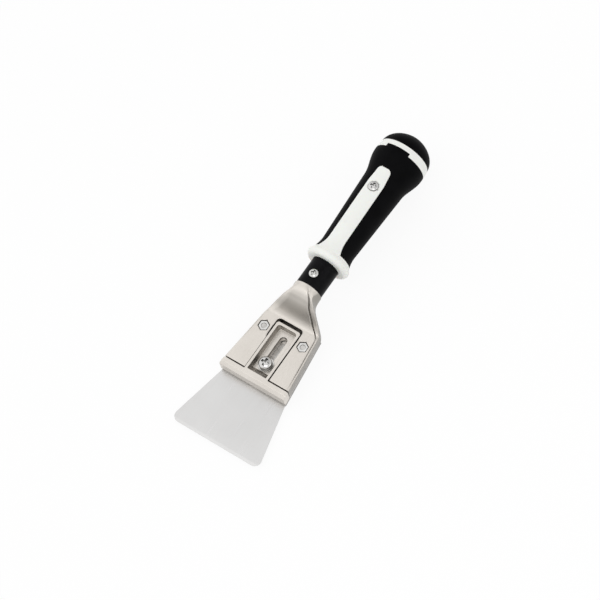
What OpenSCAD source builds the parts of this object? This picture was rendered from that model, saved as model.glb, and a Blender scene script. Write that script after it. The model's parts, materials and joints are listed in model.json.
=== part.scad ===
// Hand scraper with a replaceable trapezoid blade, a screw-down clamp and a two-colour handle.
// +X runs from the cutting edge to the handle end, +Z up from the back of the head.
// The origin is under the middle of the tool, on the plane of the head's back.

/* [Blade] */
// Width of the blade at its cutting edge
blade_w = 60; // [50:1:70]
// Width of the blade where it enters the jaw
blade_root_w = 43; // [38:1:43]
// Length of blade that stands out of the jaw
blade_reach = 38.8; // [30:0.2:45]
// Thickness of the blade
blade_t = 0.6; // [0.5:0.1:0.9]
// Radius of the two corners of the cutting edge
blade_corner_r = 4; // [2:0.5:6]
// Width of the ground bevel along the cutting edge
grind_w = 1.8; // [1:0.2:3]
// Thickness that the ground bevel leaves at the very edge
edge_t = 0.15; // [0.1:0.05:0.3]
// Length of the blade's tongue behind its shoulders
tongue_len = 25; // [22:1:28]
// Width of the open slot in the tongue
tongue_slot_w = 4.6; // [4.4:0.1:5.5]

/* [Head] */
// Width across the two wings at their front
wing_front_w = 43.2; // [40:0.2:46]
// Width across the two wings at the shoulders
shoulder_w = 35.6; // [34:0.2:38]
// Length of the wings from their front to the shoulders
wing_len = 35.4; // [34:0.5:40]
// Length of the neck from the shoulders to the shaft
neck_len = 18.4; // [17:0.2:24]
// Radius of the neck where it meets the shaft
neck_r = 8.7; // [8.4:0.1:9.5]
// Height of the shaft's axis above the face of the wings
axis_rise = 9.6; // [8:0.4:13]
// Width of the opening between the wings
opening_w = 17.2; // [16.8:0.2:18]
// Distance from the shoulders to the end of the opening
opening_web = 0.6; // [0.5:0.1:2]
// Radius of the opening's inner corners
opening_corner_r = 1.8; // [1:0.2:3]
// Chamfer along the outer edges of the wings
edge_chamfer = 0.8; // [0.6:0.1:1.2]
// How much narrower the head is at its foot, on each side
wall_draft = 0.8; // [0.4:0.1:1.2]
// Width of the raised rim along the outer edge of each wing
wing_rim_w = 1.2; // [1.1:0.1:1.4]
// Width of that rim where it is widest, along the neck
neck_rim_w = 3.2; // [2.6:0.2:3.6]
// Drop from the neck's crown to the rim on each side of it
rim_drop = 1.6; // [0.6:0.1:2.2]
// Thickness of the back plate
back_plate_t = 2; // [1.6:0.2:3]
// Length of the spigot that plugs into the shaft
spigot_len = 16; // [12:1:17]

/* [Clamp] */
// Thickness of the clamp plate
clamp_t = 9.2; // [8.4:0.2:11]
// Length of the jaw bar along the tool
bar_len = 4.8; // [4.4:0.2:8]
// Length of the bar's flat top, before its sloping front
bar_top_len = 2.6; // [2:0.1:3.4]
// Drop of the bar's sloping front, above its upright nose
nose_drop = 1.7; // [1:0.1:2.4]
// Width of the stem between the wings
stem_w = 15.8; // [15.4:0.2:16.4]
// Depth of the relief under the front of the bar
jaw_relief = 0.8; // [0.4:0.1:1.2]
// Gap between the end of the stem and the end of the opening
stem_end_gap = 2; // [1:0.2:3]
// Radius of the stem's corners
stem_corner_r = 1.6; // [1:0.2:3]
// Width of the rim around the pocket
rim_w = 1.6; // [1.2:0.1:2]
// Depth of the pocket
pocket_depth = 4.6; // [4.4:0.1:5]
// Draft of the pocket's walls, measured across
pocket_draft = 0.7; // [0.3:0.1:1]
// Length of the slope at the jaw end of the pocket
ramp_len = 3.6; // [2:0.2:4]
// Width of the long slot in the pocket's floor
clamp_slot_w = 4.6; // [4.4:0.1:5.5]
// Distance that the clamp plate can slide under its screw
slot_travel = 17; // [12:0.5:17]

/* [Fasteners] */
// Thread diameter of the clamp screw
main_thread_d = 4; // [3.5:0.1:4]
// Thread diameter of the wing bolts
bolt_thread_d = 3; // [2.5:0.1:3.5]
// Head diameter of the clamp screw
clamp_head_d = 7.8; // [7:0.2:8.4]
// Head height of the clamp screw
clamp_head_h = 2.6; // [2:0.1:3]
// Diameter of the flat washer
washer_d = 9; // [8.4:0.2:10]
// Thickness of the flat washer
washer_t = 0.8; // [0.5:0.1:1]
// Diameter of the spring washer
spring_washer_d = 7.4; // [7:0.2:8]
// Thickness of the spring washer
spring_washer_t = 0.9; // [0.7:0.1:1.2]
// Diameter of the threaded bush in the back plate
bush_d = 7; // [6:0.2:8]
// Width across the flats of the wing nuts' hexagon
nut_af = 5.5; // [5:0.1:6]
// Height of the wing nuts
nut_h = 2.4; // [2:0.2:3]
// Depth of the wing nuts below the face of the wings
nut_sink = 0.3; // [0.1:0.1:0.6]
// Distance of the wing nuts from the shoulders
nut_setback = 9; // [8:0.5:12]
// Distance between the two wing nuts
nut_spacing = 26.4; // [26.2:0.2:27]
// Head diameter of the wing bolts
bolt_head_d = 5.6; // [5:0.1:6]
// Head diameter of the shaft screw
shaft_head_d = 5.4; // [4.6:0.2:6]
// Thread diameter of the shaft screw and of the handle screw
small_thread_d = 3; // [2.5:0.1:3]
// Head diameter of the handle screw
handle_head_d = 6; // [5:0.2:6.4]
// Head height of the shaft screw and of the handle screw
small_head_h = 1.7; // [1.4:0.1:2]

/* [Shaft] */
// Outer diameter of the shaft tube
shaft_d = 16.6; // [15.6:0.2:16.8]
// Wall of the shaft tube
shaft_wall = 2; // [1.4:0.1:2.4]
// Length of shaft that shows between the neck and the collar
shaft_show = 17.5; // [17:0.5:22]
// Length of shaft past the handle screw
shaft_tail = 11; // [10:0.5:12]
// Distance of the shaft screw from the neck
shaft_screw_x = 7.3; // [6.5:0.2:8.5]
// Length of the plug in the shaft's far end
plug_len = 16; // [12:1:18]

/* [Handle] */
// Largest diameter of the collar
collar_d = 27; // [26:0.5:30]
// Length of the collar along the shaft
collar_len = 6; // [5:0.2:8]
// Radius of the collar's rounded rim
collar_round = 2.6; // [1.5:0.1:2.8]
// Diameter of the grip beside the collar
grip_start_d = 23.6; // [22:0.2:25]
// Diameter of the grip's waist
waist_d = 21.3; // [21:0.1:22]
// Diameter of the grip where the bulb begins
throat_d = 25.4; // [24:0.2:27]
// Largest diameter of the bulb
bulb_d = 32.2; // [30:0.5:36]
// Length of the end ring
ring_len = 5.2; // [4:0.2:7]
// How much the end ring's diameter shrinks from the bulb to the end cap
ring_taper = 1; // [0.4:0.1:2]
// Height of the domed end cap
cap_h = 12.4; // [8:0.2:15]
// Thickness of the soft grip over the core
sleeve_t = 2.2; // [1.6:0.1:2.4]
// Width of the strip along the handle
strip_w = 10.3; // [9:0.1:11]
// Extra width of the strip where it leaves the collar, on each side
strip_flare = 2; // [1:0.2:3]
// Length of the strip from the collar to its rounded end
strip_len = 57.7; // [56:0.1:66]
// Distance from the strip's rounded end to the end ring
strip_to_ring = 11.9; // [11:0.1:14]
// Height of the strip above the soft grip
strip_proud = 0.25; // [0.1:0.05:0.5]
// Distance of the handle screw from the strip's rounded end
strip_screw_x = 12.8; // [11:0.2:15]
// Half of the angle that each tab of the grip spans on the end ring
tab_half_angle = 27.5; // [20:0.5:35]
// Length of the tabs along the tool
tab_len = 2; // [1:0.1:3]
// Wall of the end ring around the end cap's spigot
ring_wall = 6.1; // [5:0.1:7]
// Length of the end cap's spigot inside the core
cap_spigot_len = 8; // [6:0.5:9]

/* [Fits] */
// Gap between the clamp bar and the wings
bar_gap = 0.6; // [0.4:0.1:1]
// Gap between the blade's tongue and the opening's walls, on each side
tongue_gap = 0.15; // [0.1:0.05:0.3]
// Radial gap in each threaded hole
thread_gap = 0.05; // [0.03:0.01:0.08]
// Radial gap around each bolt in a plain hole
hole_gap = 0.2; // [0.1:0.05:0.3]
// Gap around each nut in its hexagonal pocket
nut_gap = 0.35; // [0.1:0.05:0.4]
// Gap along each side of the strip in the soft grip
strip_gap = 0.1; // [0.05:0.05:0.2]

/* [Hidden] */
$fn = 64;
// Overrun of a cut past the face that it opens
over = clamp_t / 8;

// Heights, from the back of the head upwards
blade_z = back_plate_t;
clamp_z = blade_z + blade_t;
face_z = clamp_z + clamp_t;
axis_z = face_z + axis_rise;
pocket_z = face_z - pocket_depth;

// Places along the tool, from the cutting edge to the end of the cap
grip_len = strip_len + strip_to_ring;
total_len = blade_reach + bar_len + bar_gap + wing_len + neck_len + shaft_show
    + collar_len + grip_len + ring_len + cap_h;
edge_x = -total_len / 2;
jaw_x = edge_x + blade_reach;
bar_back_x = jaw_x + bar_len;
wing_x = bar_back_x + bar_gap;
shoulder_x = wing_x + wing_len;
neck_x = shoulder_x + neck_len;
collar_x = neck_x + shaft_show;
grip_x = collar_x + collar_len;
ring_x = grip_x + grip_len;
cap_x = ring_x + ring_len;
opening_x = shoulder_x - opening_web;
stem_x = opening_x - stem_end_gap;

// Places and sizes of the clamp
pocket_w = stem_w - 2 * rim_w;
pocket_end_x = stem_x - rim_w;
pocket_jaw_x = bar_back_x + bar_gap;
floor_end_x = pocket_end_x - pocket_draft / 2;
floor_jaw_x = pocket_jaw_x + ramp_len;
screw_x = floor_jaw_x + washer_d / 2 + hole_gap;
slot_end_x = screw_x + slot_travel;
head_z = pocket_z + washer_t + spring_washer_t;
tongue_w = opening_w - 2 * tongue_gap;
tongue_end_x = wing_x + tongue_len;

// Places of the other fasteners
nut_x = shoulder_x - nut_setback;
nut_z = face_z - nut_sink - nut_h;
bolt_head_h = (bolt_head_d - bolt_thread_d) / 2;
shaft_screw_at = neck_x + shaft_screw_x;
strip_end_x = grip_x + strip_len;
handle_screw_at = strip_end_x - strip_screw_x;
shaft_end_x = handle_screw_at + shaft_tail;
ring_end_d = bulb_d - ring_taper;
cap_spigot_d = ring_end_d - 2 * ring_wall;
bore_r = shaft_d / 2 - shaft_wall;
// Shares of the shaft's radius and of a screw head's size
shaft_seat_share = 0.95;
recess_w_share = 0.16;
recess_len_share = 0.62;
recess_depth_share = 0.6;

function blend(a, b, t) = a + (b - a) * t;
function smooth(t) = t <= 0 ? 0 : t >= 1 ? 1 : t * t * (3 - 2 * t);

// Half width of the head on the straight line of the wings' flanks, at the top and at the foot
function flank(x) = blend(wing_front_w, shoulder_w, (x - wing_x) / wing_len) / 2;
function foot_flank(x) = flank(x) - wall_draft;

// The neck: how far along it each change starts and how long it runs
flank_lead_share = 0.05;
flank_run_share = 0.88;
foot_start_share = 0.04;
foot_run_share = 0.75;
belly_start_share = 0.1;
belly_run_share = 0.7;
round_start_share = 0.5;
rim_lead_share = 0.15;
rim_run_share = 0.25;
thin_start_share = 0.4;
thin_run_share = 0.3;
// Shares of the neck's radius, of the rim and of the chamfer
neck_edge_share = 0.83;
neck_foot_share = 0.86;
thin_rim_share = 0.62;
wing_drop_share = 0.25;
drop_fade_share = 0.25;
slope_inner_share = 0.25;
slope_outer_share = 0.15;
slope_foot_share = 0.3;
bottom_break_share = 0.5;
neck_steps = 14;
ring_steps = 2;
function along_neck(x, start_share, run_share) =
    smooth(((x - shoulder_x) / neck_len - start_share) / run_share);
// Half widths of the head along its upper edges and along its foot
function side_w(x) = x < shoulder_x ? flank(x)
    : blend(flank(shoulder_x), neck_r * neck_edge_share, along_neck(x, -flank_lead_share, flank_run_share));
function foot_w(x) = x < shoulder_x ? foot_flank(x)
    : blend(foot_flank(shoulder_x), neck_r * neck_foot_share, along_neck(x, foot_start_share, foot_run_share));
// The neck's top rises soon after the shoulders and levels out slowly towards the shaft
function crown_z(x) =
    let (t = min(max((x - shoulder_x) / neck_len, 0), 1))
    blend(face_z, axis_z + neck_r, 1 - pow(1 - t, 3) * (1 + 3 * t));
function belly_z(x) =
    blend(blade_z, axis_z - neck_r, along_neck(x, belly_start_share, belly_run_share));
function roundness(x) = along_neck(x, round_start_share, 1 - round_start_share);
function ridge(x) = along_neck(x, -rim_lead_share, rim_run_share);
function rim(x) = blend(blend(wing_rim_w, neck_rim_w, ridge(x)), neck_rim_w * thin_rim_share,
    along_neck(x, thin_start_share, thin_run_share));

// The rim's drop fades out towards the front of the wings
function drop(x) = rim_drop * blend(
    wing_drop_share * smooth((x - wing_x) / (wing_len * drop_fade_share)), 1, ridge(x));

// Corners of half a section through the head, from the top middle to the bottom middle
function section_corners(x, top) =
    let (w = side_w(x), foot = foot_w(x), f = w - rim(x), c = edge_chamfer,
         b = edge_chamfer * bottom_break_share, g = blend(wing_rim_w, neck_rim_w, ridge(x)),
         low = top - drop(x), z = belly_z(x))
    [[0, top], [f / 2, top], [f - g * slope_inner_share, top], [f + g * slope_outer_share, low],
     [f + g * slope_foot_share, low], [w - c, low], [w, low - c], [(w + foot) / 2, (low + z) / 2],
     [foot, z + b], [foot - b, z], [foot / 2, z], [0, z]];
// Where those corners go on the round end, as angles from the top
section_angles = [0, 8, 16, 19.5, 23, 38, 46, 90, 125, 145, 165, 180];
corner_count = len(section_angles) - 1;
function section_point(x, top, i) =
    let (k = min(floor(i / ring_steps), corner_count - 1), t = i / ring_steps - k,
         corners = section_corners(x, top), flat = blend(corners[k], corners[k + 1], t),
         a = blend(section_angles[k], section_angles[k + 1], t),
         bow = [neck_r * sin(a), axis_z + neck_r * cos(a)])
    blend(flat, bow, roundness(x));
half_count = corner_count * ring_steps;
ring_count = 2 * half_count;
function section(x, top) =
    [for (i = [0:ring_count - 1])
        let (right = i > half_count, p = section_point(x, top, right ? ring_count - i : i))
        [x, right ? -p[0] : p[0], p[1]]];
front_break = edge_chamfer * bottom_break_share;
stations = [
    [wing_x, face_z - front_break], [wing_x + front_break, face_z], [blend(wing_x, shoulder_x, 1 / 2), face_z],
    for (i = [0:neck_steps])
        let (x = shoulder_x + neck_len * i / neck_steps)
        [x, crown_z(x)]];

// Where the grip's waist, throat and bulb lie
waist_share = 0.1;
throat_share = 0.544;
bulb_share = 0.044;
waist_x = grip_x + grip_len * waist_share;
throat_x = ring_x - bulb_d * throat_share;
bulb_x = ring_x - bulb_d * bulb_share;
// Radius of the soft grip at a place along the tool
function grip_r(x) =
    x < waist_x ? blend(waist_d, grip_start_d, pow((waist_x - x) / (waist_x - grip_x), 2)) / 2
    : x < throat_x ? blend(waist_d, throat_d, (x - waist_x) / (throat_x - waist_x)) / 2
    : blend(throat_d, bulb_d, smooth((x - throat_x) / (bulb_x - throat_x))) / 2;
grip_steps = 48;
function grip_profile(from_x, to_x, extra) =
    [for (i = [0:grip_steps])
        let (x = blend(from_x, to_x, i / grip_steps))
        [grip_r(x) + extra, x]];

// Turns a profile of radius and distance into a solid around the shaft's axis
module around_axis() {
    translate([0, 0, axis_z]) rotate([0, 90, 0]) rotate_extrude($fn = 96) children();
}

// A cylinder along the shaft's axis
module along_axis(from_x, to_x, r) {
    translate([from_x, 0, axis_z]) rotate([0, 90, 0]) cylinder(h = to_x - from_x, r = r);
}

// A cylinder that stands upright
module upright(x, y, low, high, r) {
    translate([x, y, low]) cylinder(h = high - low, r = r);
}

// A flat outline that is closed at one end by two rounded corners
module rounded_tongue(from_x, to_x, w, r) {
    translate([from_x, -w / 2]) square([to_x - from_x - r, w]);
    translate([from_x, -w / 2 + r]) square([to_x - from_x, w - 2 * r]);
    for (side = [-1, 1]) translate([to_x - r, side * (w / 2 - r)]) circle(r = r);
}

// A long hole with round ends
module slot_outline(from_x, to_x, w) {
    translate([from_x, -w / 2]) square([to_x - from_x, w]);
    translate([from_x, 0]) circle(d = w);
    translate([to_x, 0]) circle(d = w);
}

// A domed screw head with a cross recess, standing on z = 0
module domed_head(d, h) {
    rim_h = h * (1 - recess_depth_share);
    dome_steps = 10;
    difference() {
        rotate_extrude()
            polygon([[0, 0], [d / 2, 0],
                for (i = [0:dome_steps])
                    let (a = 90 * i / dome_steps)
                    [d / 2 * cos(a), rim_h + (h - rim_h) * sin(a)]]);
        for (a = [0, 90]) rotate([0, 0, a])
            translate([-d * recess_len_share / 2, -d * recess_w_share / 2, rim_h])
                cube([d * recess_len_share, d * recess_w_share, h]);
    }
}

module blade() {
    corner_x = edge_x + blade_corner_r;
    // The rounded corner touches both the cutting edge and the slanting side
    slant = atan((blade_w - blade_root_w) / 2 / blade_reach);
    corner_y = blade_w / 2 - blade_corner_r * tan((90 - slant) / 2 + slant);
    tip_y = corner_y + blade_corner_r * cos(slant);
    tip_x = corner_x + blade_corner_r * sin(slant);
    color("gainsboro")
    difference() {
        translate([0, 0, blade_z])
        linear_extrude(height = blade_t)
        difference() {
            union() {
                polygon([[edge_x, -corner_y], [corner_x, -corner_y], [tip_x, -tip_y],
                    [jaw_x, -blade_root_w / 2], [wing_x, -blade_root_w / 2 + blade_corner_r / 4],
                    [wing_x, blade_root_w / 2 - blade_corner_r / 4], [jaw_x, blade_root_w / 2],
                    [tip_x, tip_y], [corner_x, corner_y], [edge_x, corner_y]]);
                for (side = [-1, 1])
                    translate([corner_x, side * corner_y]) circle(r = blade_corner_r);
                translate([jaw_x, -tongue_w / 2]) square([tongue_end_x - jaw_x, tongue_w]);
            }
            translate([screw_x, -tongue_slot_w / 2])
                square([tongue_end_x - screw_x + over, tongue_slot_w]);
            translate([screw_x, 0]) circle(d = tongue_slot_w);
        }
        // The ground bevel along the upper side of the cutting edge
        translate([edge_x, 0, blade_z])
        rotate([90, 0, 0])
        linear_extrude(height = blade_w, center = true)
            polygon([[-over, edge_t], [0, edge_t], [grind_w, blade_t],
                [grind_w, blade_t + over], [-over, blade_t + over]]);
    }
}

module head_body() {
    last = len(stations) - 1;
    front_middle = len(stations) * ring_count;
    polyhedron(
        points = [
            for (s = stations) each section(s[0], s[1]),
            [stations[0][0], 0, (stations[0][1] + blade_z) / 2],
            [neck_x, 0, axis_z]],
        faces = [
            for (i = [0:ring_count - 1])
                let (j = (i + 1) % ring_count)
                each [[front_middle, j, i],
                      [front_middle + 1, last * ring_count + i, last * ring_count + j]],
            for (s = [0:last - 1], i = [0:ring_count - 1])
                let (a = s * ring_count, j = (i + 1) % ring_count)
                each [[a + i, a + j, a + ring_count + i],
                      [a + j, a + ring_count + j, a + ring_count + i]]]);
}

module head_casting() {
    hex_r = (nut_af / 2 + nut_gap) / cos(30);
    color("silver")
    difference() {
        union() {
            head_body();
            along_axis(neck_x - spigot_len / 4, neck_x + spigot_len, bore_r);
        }
        translate([0, 0, blade_z - over])
            linear_extrude(height = face_z - blade_z + 2 * over)
                rounded_tongue(wing_x - over, opening_x, opening_w, opening_corner_r);
        for (side = [-1, 1]) {
            upright(nut_x, side * nut_spacing / 2, blade_z - over, face_z + over,
                bolt_thread_d / 2 + hole_gap);
            translate([nut_x, side * nut_spacing / 2, nut_z])
                cylinder(h = nut_h + over, r = hex_r, $fn = 6);
        }
        upright(shaft_screw_at, 0, axis_z, axis_z + bore_r + over, small_thread_d / 2 + thread_gap);
    }
}

module back_plate() {
    nose = back_plate_t / 2;
    rear_x = shoulder_x + neck_len * belly_start_share;
    color("darkgray")
    difference() {
        intersection() {
            linear_extrude(height = back_plate_t)
                polygon([[jaw_x, -foot_flank(jaw_x)], [shoulder_x, -foot_flank(shoulder_x)],
                    [rear_x, -foot_w(rear_x)], [rear_x, foot_w(rear_x)],
                    [shoulder_x, foot_flank(shoulder_x)], [jaw_x, foot_flank(jaw_x)]]);
            // The plate's nose is bevelled from below
            rotate([90, 0, 0])
            linear_extrude(height = 2 * wing_front_w, center = true)
                polygon([[jaw_x + nose, 0], [rear_x, 0], [rear_x, back_plate_t],
                    [jaw_x, back_plate_t], [jaw_x, nose]]);
        }
        upright(screw_x, 0, -over, back_plate_t + over, bush_d / 2);
        for (side = [-1, 1]) {
            upright(nut_x, side * nut_spacing / 2, -over, back_plate_t + over,
                bolt_thread_d / 2 + hole_gap);
            translate([nut_x, side * nut_spacing / 2, 0])
                cylinder(h = bolt_head_h, r1 = bolt_head_d / 2, r2 = bolt_thread_d / 2);
        }
    }
}

module clamp_plate() {
    ridge_x = bar_back_x - bar_top_len;
    break_w = edge_chamfer / 2;
    color("silver")
    difference() {
        union() {
            translate([0, 0, clamp_z])
                linear_extrude(height = clamp_t)
                    rounded_tongue(bar_back_x - bar_top_len, stem_x, stem_w, stem_corner_r);
            intersection() {
                translate([0, 0, clamp_z])
                    linear_extrude(height = clamp_t)
                        polygon([[jaw_x, -flank(jaw_x) + break_w], [jaw_x + break_w, -flank(jaw_x)],
                            [bar_back_x, -flank(bar_back_x)], [bar_back_x, flank(bar_back_x)],
                            [jaw_x + break_w, flank(jaw_x)], [jaw_x, flank(jaw_x) - break_w]]);
                // The bar's front slopes down to an upright nose, with a relief under it
                rotate([90, 0, 0])
                linear_extrude(height = 2 * wing_front_w, center = true)
                    polygon([[jaw_x + jaw_relief, clamp_z], [bar_back_x, clamp_z],
                        [bar_back_x, face_z], [ridge_x, face_z], [jaw_x, face_z - nose_drop],
                        [jaw_x, clamp_z + 2 * jaw_relief], [jaw_x + jaw_relief, clamp_z + jaw_relief]]);
                // Both ends of the bar carry the chamfer of the wings
                rotate([90, 0, 90])
                linear_extrude(height = 2 * total_len, center = true)
                    polygon([[-wing_front_w, clamp_z], [wing_front_w, clamp_z],
                        [flank(jaw_x), face_z - edge_chamfer], [flank(bar_back_x) - edge_chamfer, face_z],
                        [-flank(bar_back_x) + edge_chamfer, face_z], [-flank(jaw_x), face_z - edge_chamfer]]);
            }
        }
        // The pocket narrows to its floor and slopes up at the jaw end
        hull() {
            translate([0, 0, face_z])
                linear_extrude(height = over)
                    rounded_tongue(pocket_jaw_x, pocket_end_x, pocket_w, stem_corner_r);
            translate([0, 0, pocket_z])
                linear_extrude(height = over / 8)
                    rounded_tongue(floor_jaw_x, floor_end_x, pocket_w - 2 * pocket_draft, stem_corner_r);
        }
        translate([0, 0, clamp_z - over])
            linear_extrude(height = pocket_depth + clamp_t)
                slot_outline(screw_x, slot_end_x, clamp_slot_w);
    }
}

module clamp_screw() {
    color("lightgray")
    union() {
        translate([screw_x, 0, head_z]) domed_head(clamp_head_d, clamp_head_h);
        upright(screw_x, 0, 0, head_z + clamp_head_h * (1 - recess_depth_share) / 2, main_thread_d / 2);
    }
}

module flat_washer() {
    color("gainsboro")
    difference() {
        upright(screw_x, 0, pocket_z, pocket_z + washer_t, washer_d / 2);
        upright(screw_x, 0, pocket_z - over, pocket_z + washer_t + over, main_thread_d / 2 + thread_gap);
    }
}

module spring_washer() {
    low = pocket_z + washer_t;
    split = spring_washer_t / 2;
    color("gray")
    difference() {
        upright(screw_x, 0, low, low + spring_washer_t, spring_washer_d / 2);
        upright(screw_x, 0, low - over, low + spring_washer_t + over, main_thread_d / 2 + thread_gap);
        translate([screw_x, -split / 2, low - over])
            cube([spring_washer_d, split, spring_washer_t + 2 * over]);
    }
}

module clamp_bush() {
    color("goldenrod")
    difference() {
        upright(screw_x, 0, 0, back_plate_t, bush_d / 2);
        upright(screw_x, 0, -over, back_plate_t + over, main_thread_d / 2 + thread_gap);
    }
}

module wing_nut(side) {
    color("lightgray")
    translate([nut_x, side * nut_spacing / 2, nut_z])
    difference() {
        cylinder(h = nut_h, r = nut_af / 2 / cos(30), $fn = 6);
        translate([0, 0, -over]) cylinder(h = nut_h + 2 * over, r = bolt_thread_d / 2 + thread_gap);
    }
}

module wing_bolt(side) {
    end_gap = nut_sink + nut_h / 8;
    color("dimgray")
    translate([nut_x, side * nut_spacing / 2, 0])
    difference() {
        union() {
            cylinder(h = bolt_head_h, r1 = bolt_head_d / 2, r2 = bolt_thread_d / 2);
            cylinder(h = face_z - end_gap, r = bolt_thread_d / 2);
        }
        for (a = [0, 90]) rotate([0, 0, a])
            translate([-bolt_head_d * recess_len_share / 2, -bolt_head_d * recess_w_share / 2, -over])
                cube([bolt_head_d * recess_len_share, bolt_head_d * recess_w_share, over + bolt_head_h / 2]);
    }
}

module left_nut() { wing_nut(1); }
module right_nut() { wing_nut(-1); }
module left_bolt() { wing_bolt(1); }
module right_bolt() { wing_bolt(-1); }

module shaft_tube() {
    seat_z = axis_z + shaft_d / 2 * shaft_seat_share;
    color([0.08, 0.08, 0.09])
    difference() {
        along_axis(neck_x, shaft_end_x, shaft_d / 2);
        along_axis(neck_x - over, shaft_end_x + over, bore_r);
        upright(shaft_screw_at, 0, axis_z, axis_z + shaft_d, small_thread_d / 2 + hole_gap);
        upright(shaft_screw_at, 0, seat_z, axis_z + shaft_d, shaft_head_d / 2 + hole_gap);
        upright(handle_screw_at, 0, axis_z, axis_z + shaft_d, small_thread_d / 2 + hole_gap);
    }
}

module shaft_screw() {
    seat_z = axis_z + shaft_d / 2 * shaft_seat_share;
    color("lightgray")
    union() {
        translate([shaft_screw_at, 0, seat_z]) domed_head(shaft_head_d, small_head_h);
        upright(shaft_screw_at, 0, axis_z + small_thread_d / 2,
            seat_z + small_head_h * (1 - recess_depth_share) / 2, small_thread_d / 2);
    }
}

module shaft_plug() {
    color("goldenrod")
    difference() {
        along_axis(handle_screw_at - plug_len / 2, handle_screw_at + plug_len / 2, bore_r);
        upright(handle_screw_at, 0, axis_z, axis_z + shaft_d, small_thread_d / 2 + thread_gap);
    }
}

module handle_core() {
    spigot_from = ring_x - cap_spigot_len;
    color("whitesmoke")
    difference() {
        around_axis()
            polygon([[0, grip_x], each grip_profile(grip_x, ring_x, -sleeve_t), [0, ring_x]]);
        along_axis(grip_x - over, shaft_end_x, shaft_d / 2);
        along_axis(spigot_from, ring_x + over, cap_spigot_d / 2);
        upright(handle_screw_at, 0, axis_z, axis_z + bulb_d, small_thread_d / 2 + hole_gap);
    }
}

// Outline of the strip seen from above, widened all round by a gap
flare_len_share = 0.8;
end_round_share = 0.25;
end_w_share = 0.84;
outline_steps = 8;
function strip_outline(gap) =
    let (w = strip_w / 2 + gap, r = strip_w * end_round_share, far = strip_end_x + gap,
         side = [
            for (i = [0:outline_steps])
                let (t = i / outline_steps)
                [grip_x + strip_w * flare_len_share * t, w + strip_flare * pow(1 - t, 2)],
            [far - strip_w, w],
            for (i = [0:outline_steps])
                let (a = 90 * i / outline_steps)
                [far - r + r * sin(a), w * end_w_share - r + r * cos(a)]])
    concat([[grip_x - over, w + strip_flare]], side,
        [for (i = [len(side) - 1:-1:0]) [side[i][0], -side[i][1]]],
        [[grip_x - over, -w - strip_flare]]);

module strip_shape(gap) {
    translate([0, 0, axis_z]) linear_extrude(height = bulb_d) polygon(strip_outline(gap));
}

module collar_strip() {
    rim_r = collar_d / 2 - collar_round;
    arc_steps = 12;
    seat_z = axis_z + grip_r(handle_screw_at) + strip_proud - small_head_h / 2;
    color("white")
    difference() {
        union() {
            around_axis()
                polygon([[shaft_d / 2, collar_x], [rim_r, collar_x],
                    for (i = [1:arc_steps])
                        let (a = 90 * i / arc_steps)
                        [rim_r + collar_round * sin(a), collar_x + collar_round * (1 - cos(a))],
                    for (i = [1:arc_steps])
                        let (t = i / arc_steps)
                        [blend(collar_d / 2, grip_start_d / 2 + strip_proud, smooth(t)),
                         blend(collar_x + collar_round, grip_x, t)],
                    [shaft_d / 2, grip_x]]);
            intersection() {
                around_axis()
                    polygon([[grip_r(grip_x) - sleeve_t, grip_x],
                        each grip_profile(grip_x, strip_end_x, strip_proud),
                        for (p = grip_profile(strip_end_x, grip_x, -sleeve_t)) p]);
                strip_shape(0);
            }
        }
        upright(handle_screw_at, 0, axis_z, axis_z + bulb_d, small_thread_d / 2 + hole_gap);
        upright(handle_screw_at, 0, seat_z, axis_z + bulb_d, handle_head_d / 2 + hole_gap);
    }
}

// The wedges above and below the axis in which the grip's tabs reach onto the end ring
module tab_wedges(from_x, len_x) {
    for (side = [-1, 1])
        translate([from_x, 0, axis_z])
        rotate([90, 0, 90])
        linear_extrude(height = len_x)
            polygon([[0, 0], [bulb_d * tan(tab_half_angle), side * bulb_d],
                [-bulb_d * tan(tab_half_angle), side * bulb_d]]);
}

// The end ring from a given radius outwards, with its slightly swelling outside
ring_swell_share = 0.3;
module ring_outside(inner_r) {
    around_axis()
        polygon([[inner_r, ring_x], [grip_r(ring_x), ring_x],
            [blend(grip_r(ring_x), ring_end_d / 2, ring_swell_share), ring_x + ring_len / 2],
            [ring_end_d / 2, cap_x], [inner_r, cap_x]]);
}

module grip_sleeve() {
    color([0.07, 0.07, 0.08])
    union() {
        difference() {
            around_axis()
                polygon([[grip_r(grip_x) - sleeve_t, grip_x], each grip_profile(grip_x, ring_x, 0),
                    each grip_profile(ring_x, grip_x, -sleeve_t)]);
            strip_shape(strip_gap);
        }
        intersection() {
            ring_outside(grip_r(ring_x) - sleeve_t);
            tab_wedges(ring_x - over, tab_len + over);
        }
    }
}

module end_ring() {
    color("white")
    difference() {
        ring_outside(cap_spigot_d / 2);
        intersection() {
            around_axis()
                polygon([[grip_r(ring_x) - sleeve_t, ring_x - over], [bulb_d, ring_x - over],
                    [bulb_d, cap_x + over], [grip_r(ring_x) - sleeve_t, cap_x + over]]);
            tab_wedges(ring_x - over, tab_len + over);
        }
    }
}

module end_cap() {
    dome_steps = 18;
    dome_power = 1.2;
    color([0.07, 0.07, 0.08])
    around_axis()
        polygon([[0, ring_x - cap_spigot_len], [cap_spigot_d / 2, ring_x - cap_spigot_len],
            [cap_spigot_d / 2, cap_x],
            for (i = [0:dome_steps])
                let (a = 90 * i / dome_steps)
                [ring_end_d / 2 * pow(cos(a), dome_power), cap_x + cap_h * sin(a)]]);
}

module handle_screw() {
    seat_z = axis_z + grip_r(handle_screw_at) + strip_proud - small_head_h / 2;
    color("lightgray")
    union() {
        translate([handle_screw_at, 0, seat_z]) domed_head(handle_head_d, small_head_h);
        upright(handle_screw_at, 0, axis_z + small_thread_d / 2,
            seat_z + small_head_h * (1 - recess_depth_share) / 2, small_thread_d / 2);
    }
}

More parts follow.
